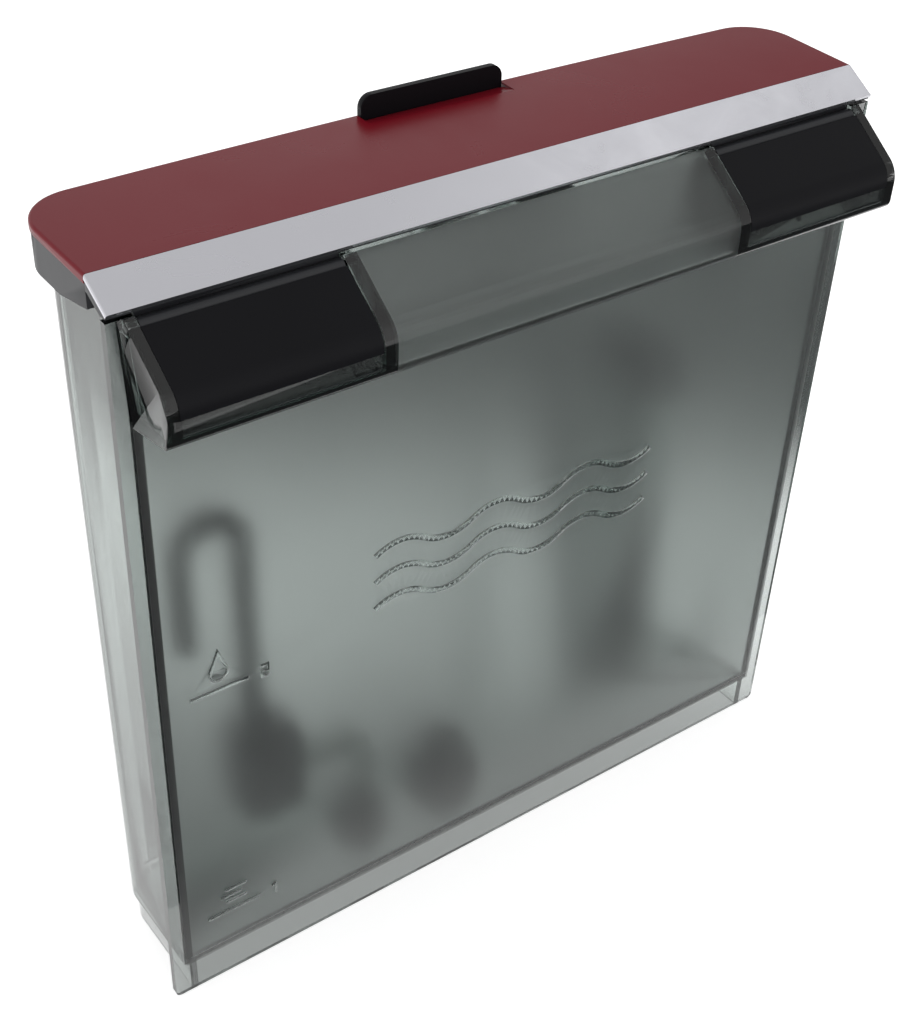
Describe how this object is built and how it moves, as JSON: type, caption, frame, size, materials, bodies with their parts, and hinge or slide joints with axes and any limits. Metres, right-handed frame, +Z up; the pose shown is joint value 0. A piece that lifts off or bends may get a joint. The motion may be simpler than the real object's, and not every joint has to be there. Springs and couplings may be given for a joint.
{
  "type": "water tank with hinged lid",
  "caption": "Removable flat water tank with satin front panel, forward beak grip, hinged lid with finger tab, floor valves, hooked return tube and float.",
  "frame": {"origin": "middle of the footprint's bounding box, on the surface the tank stands on", "axes": "+X along the width, +Y from the front panel to the rear, +Z up"},
  "size_m": [0.204, 0.0581, 0.211],
  "materials": {
    "clear_smoke": "clear smoke-grey moulding, polished",
    "satin_smoke": "smoke-grey moulding with a fine satin texture on its front, clear at its edges",
    "black_plastic": "black, fine satin texture",
    "lid_plastic": "dark grey, satin",
    "red_lid": "red, semi-gloss",
    "brushed_trim": "brushed lengthwise, satin anodised",
    "pin_steel": "drawn stainless wire",
    "valve_plastic": "dark grey, as moulded",
    "white_plastic": "natural white, as moulded",
    "natural_plastic": "natural, milky translucent, as moulded",
    "seal_rubber": "moulded rubber",
    "silicone": "translucent silicone",
    "return_tube": "smoke-grey tube",
    "magnet": "ferrite"
  },
  "bodies": {
    "tank": {"rear_shell": "clear_smoke", "front_panel": "satin_smoke", "left_end_cap": "black_plastic", "right_end_cap": "black_plastic", "outlet_valve_body": "valve_plastic", "outlet_valve_nut": "valve_plastic", "outlet_valve_gasket": "seal_rubber", "outlet_strainer": "valve_plastic", "return_valve_body": "valve_plastic", "return_valve_nut": "valve_plastic", "return_valve_gasket": "seal_rubber", "return_nipple": "valve_plastic", "return_elbow": "silicone", "return_block": "valve_plastic", "return_tube": "return_tube", "float_stop": "valve_plastic"},
    "lid": {"lid_frame": "lid_plastic", "lid_top_panel": "red_lid", "trim_strip": "brushed_trim", "finger_tab": "black_plastic", "left_hinge_pin": "pin_steel", "right_hinge_pin": "pin_steel"},
    "outlet_valve": {"outlet_poppet": "white_plastic", "outlet_poppet_seal": "seal_rubber", "outlet_spring": "pin_steel"},
    "return_valve": {"return_poppet": "white_plastic", "return_poppet_seal": "seal_rubber", "return_spring": "pin_steel"},
    "float": {"float_body": "natural_plastic", "float_magnet": "magnet"}
  },
  "joints": [
    {"name": "lid_hinge", "type": "hinge", "parent": "tank", "child": "lid", "pos_m": [0, -0.01345, 0.1973], "axis": [1, 0, 0], "range_deg": [0, 80]},
    {"name": "outlet_lift", "type": "slide", "parent": "tank", "child": "outlet_valve", "axis": [0, 0, 1], "range_m": [0, 0.0035], "stiffness_N_per_m": 180, "springref_m": -0.004, "deforming": ["outlet_spring"]},
    {"name": "return_lift", "type": "slide", "parent": "tank", "child": "return_valve", "axis": [0, 0, 1], "range_m": [0, 0.002], "stiffness_N_per_m": 90, "springref_m": -0.003, "deforming": ["return_spring"]},
    {"name": "float_rise", "type": "slide", "parent": "tank", "child": "float", "axis": [0, 0, 1], "range_m": [0, 0.088]}
  ]
}
